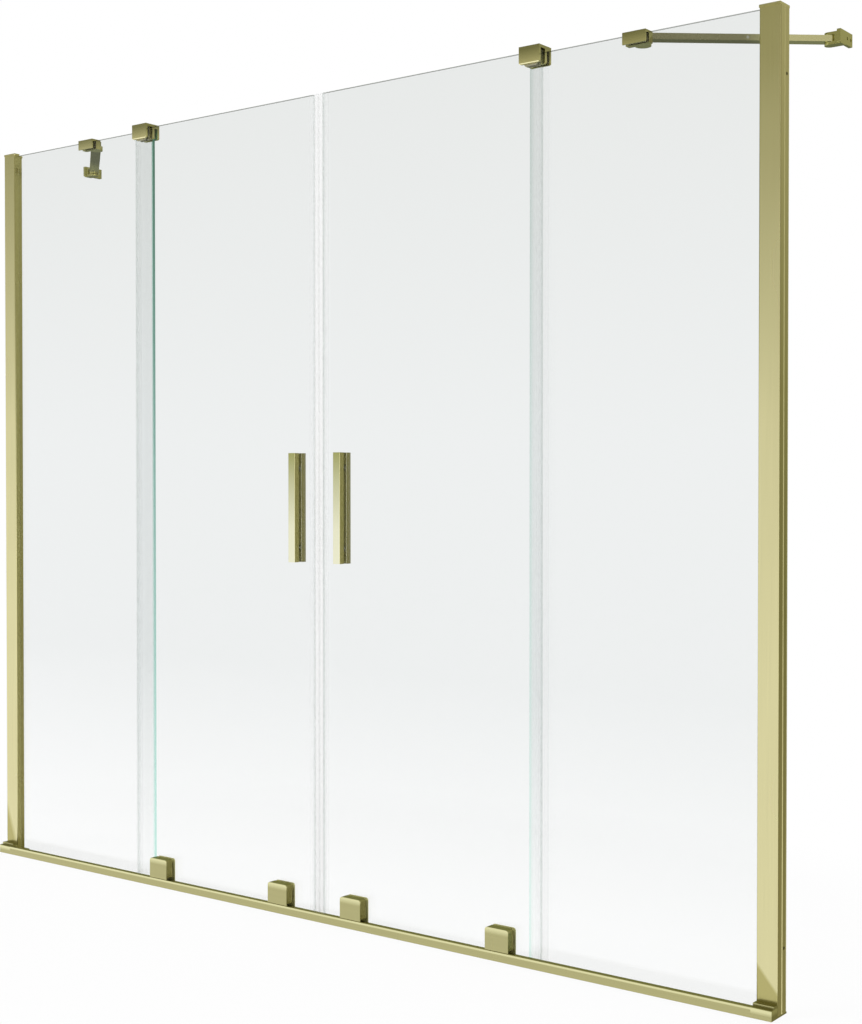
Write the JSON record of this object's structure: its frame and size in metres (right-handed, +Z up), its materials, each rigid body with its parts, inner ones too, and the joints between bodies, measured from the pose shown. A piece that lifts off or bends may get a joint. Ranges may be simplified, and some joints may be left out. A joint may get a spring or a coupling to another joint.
{
  "type": "sliding bath screen",
  "caption": "Sliding glass screen: doors on rollers run along a low brass rail between fixed glass panes held by wall profiles and braced by flat bars.",
  "frame": {"origin": "underside of the bottom rail, midway between the walls and midway through the depth of the rail's ends", "axes": "+X to the right wall as seen from outside, +Y into the bath, +Z up"},
  "size_m": [1.8, 0.286, 1.512],
  "materials": {
    "brushed_brass": "fine satin, pale champagne brass",
    "aged_brass": "darker satin brass",
    "brass_screw": "satin brass screw heads",
    "clear_glass": "clear toughened glass, green at the edges",
    "clear_vinyl": "clear flexible plastic",
    "white_magnet": "white magnetic strip",
    "grey_nylon": "moulded nylon",
    "black_rubber": "matte rubber",
    "screw_steel": "stainless screws and pins"
  },
  "bodies": {
    "fixed_screen": {"wall_channel_left": "aged_brass", "pane_profile_left": "brushed_brass", "profile_cap_left": "brushed_brass", "pane_gasket_left": "clear_vinyl", "rail_end_left": "brushed_brass", "fixed_pane_left": "clear_glass", "guide_block_left": "brushed_brass", "guide_insert_left": "grey_nylon", "glass_clamp_left": "brushed_brass", "support_bar_left": "brushed_brass", "wall_bracket_left": "brushed_brass", "wall_channel_right": "aged_brass", "pane_profile_right": "brushed_brass", "profile_cap_right": "brushed_brass", "pane_gasket_right": "clear_vinyl", "rail_end_right": "brushed_brass", "fixed_pane_right": "clear_glass", "guide_block_right": "brushed_brass", "guide_insert_right": "grey_nylon", "glass_clamp_right": "brushed_brass", "support_bar_right": "brushed_brass", "wall_bracket_right": "brushed_brass", "profile_screws": "screw_steel", "profile_covers": "aged_brass", "bottom_rail": "brushed_brass", "pane_beds": "clear_vinyl", "door_stops": "black_rubber", "grub_screws": "screw_steel", "glass_pads": "black_rubber", "bar_pivot_screws": "brass_screw", "bar_lock_screws": "screw_steel"},
    "left_door": {"left_door_pane": "clear_glass", "left_magnet_seal": "clear_vinyl", "left_magnet_strip": "white_magnet", "left_fin_seal": "clear_vinyl", "left_handle_outer": "brushed_brass", "left_handle_inner": "brushed_brass", "left_handle_studs": "screw_steel", "left_carriage_outer": "brushed_brass", "left_carriage_inner": "brushed_brass", "left_carriage_plates": "aged_brass", "left_carriage_screws": "screw_steel", "left_roller_axles": "screw_steel"},
    "right_door": {"right_door_pane": "clear_glass", "right_magnet_seal": "clear_vinyl", "right_magnet_strip": "white_magnet", "right_fin_seal": "clear_vinyl", "right_handle_outer": "brushed_brass", "right_handle_inner": "brushed_brass", "right_handle_studs": "screw_steel", "right_carriage_outer": "brushed_brass", "right_carriage_inner": "brushed_brass", "right_carriage_plates": "aged_brass", "right_carriage_screws": "screw_steel", "right_roller_axles": "screw_steel"},
    "left_outer_roller": {"roller_left_outer": "grey_nylon"},
    "left_inner_roller": {"roller_left_inner": "grey_nylon"},
    "right_inner_roller": {"roller_right_inner": "grey_nylon"},
    "right_outer_roller": {"roller_right_outer": "grey_nylon"}
  },
  "joints": [
    {"name": "left_door_slide", "type": "slide", "parent": "fixed_screen", "child": "left_door", "axis": [-1, 0, 0], "range_m": [0, 0.372]},
    {"name": "left_outer_roller_spin", "type": "hinge", "parent": "left_door", "child": "left_outer_roller", "pos_m": [-0.406, -0.0135, 0.0215], "axis": [0, -1, 0], "range_deg": [-5, 1530]},
    {"name": "left_inner_roller_spin", "type": "hinge", "parent": "left_door", "child": "left_inner_roller", "pos_m": [-0.088, -0.0135, 0.0215], "axis": [0, -1, 0], "range_deg": [-5, 1530]},
    {"name": "right_door_slide", "type": "slide", "parent": "fixed_screen", "child": "right_door", "axis": [1, 0, 0], "range_m": [0, 0.372]},
    {"name": "right_inner_roller_spin", "type": "hinge", "parent": "right_door", "child": "right_inner_roller", "pos_m": [0.088, -0.0135, 0.0215], "axis": [0, 1, 0], "range_deg": [-5, 1530]},
    {"name": "right_outer_roller_spin", "type": "hinge", "parent": "right_door", "child": "right_outer_roller", "pos_m": [0.406, -0.0135, 0.0215], "axis": [0, 1, 0], "range_deg": [-5, 1530]}
  ],
  "couplings": [
    {"joint": "left_outer_roller_spin", "follows": "left_door_slide", "rad_per_m": 71.429},
    {"joint": "left_inner_roller_spin", "follows": "left_door_slide", "rad_per_m": 71.429},
    {"joint": "right_inner_roller_spin", "follows": "right_door_slide", "rad_per_m": 71.429},
    {"joint": "right_outer_roller_spin", "follows": "right_door_slide", "rad_per_m": 71.429}
  ]
}
